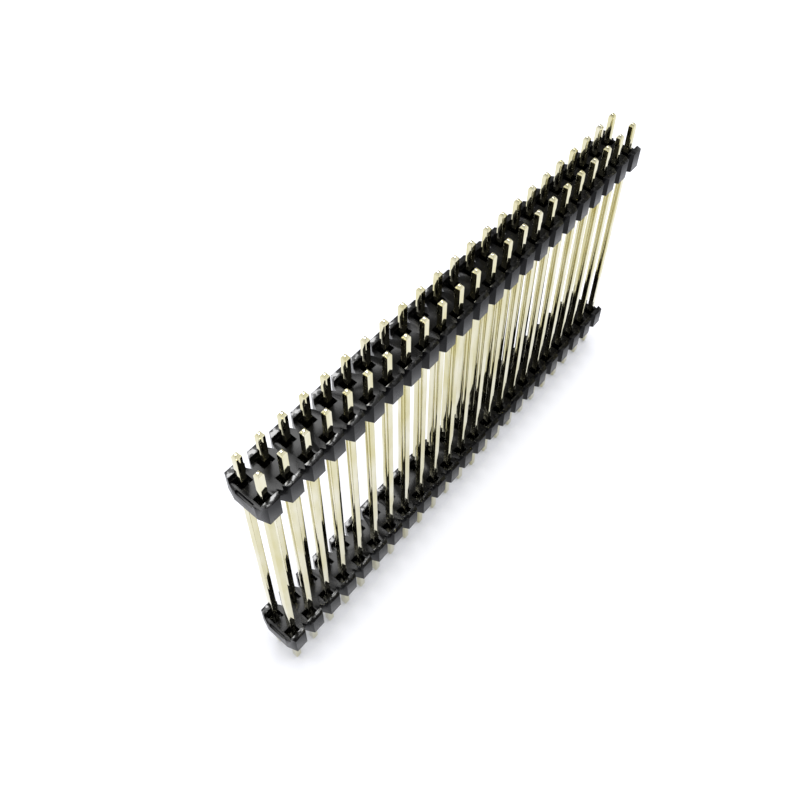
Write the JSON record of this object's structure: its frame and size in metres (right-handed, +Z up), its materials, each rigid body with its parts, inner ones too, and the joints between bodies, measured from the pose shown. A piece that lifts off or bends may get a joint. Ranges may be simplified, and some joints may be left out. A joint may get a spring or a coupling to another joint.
{
  "type": "dual-insulator pin header",
  "caption": "Tall double-row pin header: straight square pins on a grid, held by a lower and an upper moulded insulator, for stacking two circuit boards.",
  "frame": {"origin": "centre of the bounding box's bottom, on the plane the lower pin tips stand on", "axes": "+X along the rows of pins, +Y from the front row to the back row, +Z up, from the short solder tails to the upper insulator"},
  "size_m": [0.058, 0.005, 0.0381],
  "materials": {
    "insulator": "satin black moulded nylon",
    "pins": "bright gold flash plating"
  },
  "bodies": {
    "root": {"lower_insulator": "insulator", "upper_insulator": "insulator", "pin_front_01": "pins", "pin_front_02": "pins", "pin_front_03": "pins", "pin_front_04": "pins", "pin_front_05": "pins", "pin_front_06": "pins", "pin_front_07": "pins", "pin_front_08": "pins", "pin_front_09": "pins", "pin_front_10": "pins", "pin_front_11": "pins", "pin_front_12": "pins", "pin_front_13": "pins", "pin_front_14": "pins", "pin_front_15": "pins", "pin_front_16": "pins", "pin_front_17": "pins", "pin_front_18": "pins", "pin_front_19": "pins", "pin_front_20": "pins", "pin_front_21": "pins", "pin_front_22": "pins", "pin_front_23": "pins", "pin_back_01": "pins", "pin_back_02": "pins", "pin_back_03": "pins", "pin_back_04": "pins", "pin_back_05": "pins", "pin_back_06": "pins", "pin_back_07": "pins", "pin_back_08": "pins", "pin_back_09": "pins", "pin_back_10": "pins", "pin_back_11": "pins", "pin_back_12": "pins", "pin_back_13": "pins", "pin_back_14": "pins", "pin_back_15": "pins", "pin_back_16": "pins", "pin_back_17": "pins", "pin_back_18": "pins", "pin_back_19": "pins", "pin_back_20": "pins", "pin_back_21": "pins", "pin_back_22": "pins", "pin_back_23": "pins"}
  },
  "joints": []
}
